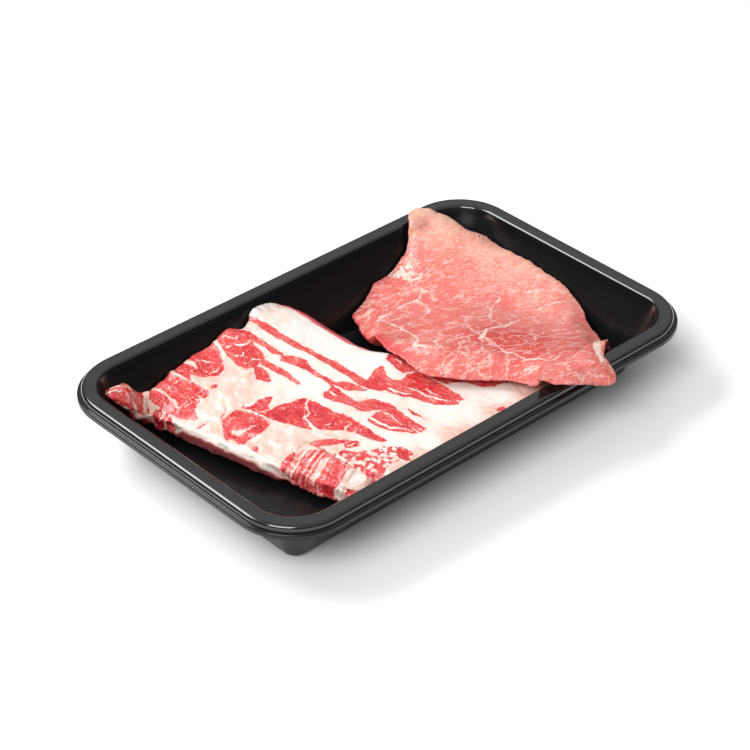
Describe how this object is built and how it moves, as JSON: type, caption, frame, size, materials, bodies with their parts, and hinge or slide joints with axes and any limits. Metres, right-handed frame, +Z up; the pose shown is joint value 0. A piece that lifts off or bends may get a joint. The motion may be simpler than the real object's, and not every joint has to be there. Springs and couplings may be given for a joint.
{
  "type": "plastic meat tray with raw meat",
  "caption": "Black plastic tray with a slab of raw belly meat and a lean slice draped over its end and both rims.",
  "frame": {"origin": "centre of the tray's flat underside", "axes": "+X along the tray's length, from the slab's thin end to the lean slice; +Z up"},
  "size_m": [0.2272, 0.15, 0.0354],
  "materials": {
    "tray_plastic": "smooth black, soft gloss",
    "belly_meat": "moist raw meat, white fat with bands of red lean",
    "lean_meat": "moist raw lean meat, pink with fine white veins"
  },
  "bodies": {
    "root": {"tray": "tray_plastic", "belly_slab": "belly_meat", "lean_slice": "lean_meat"}
  },
  "joints": []
}
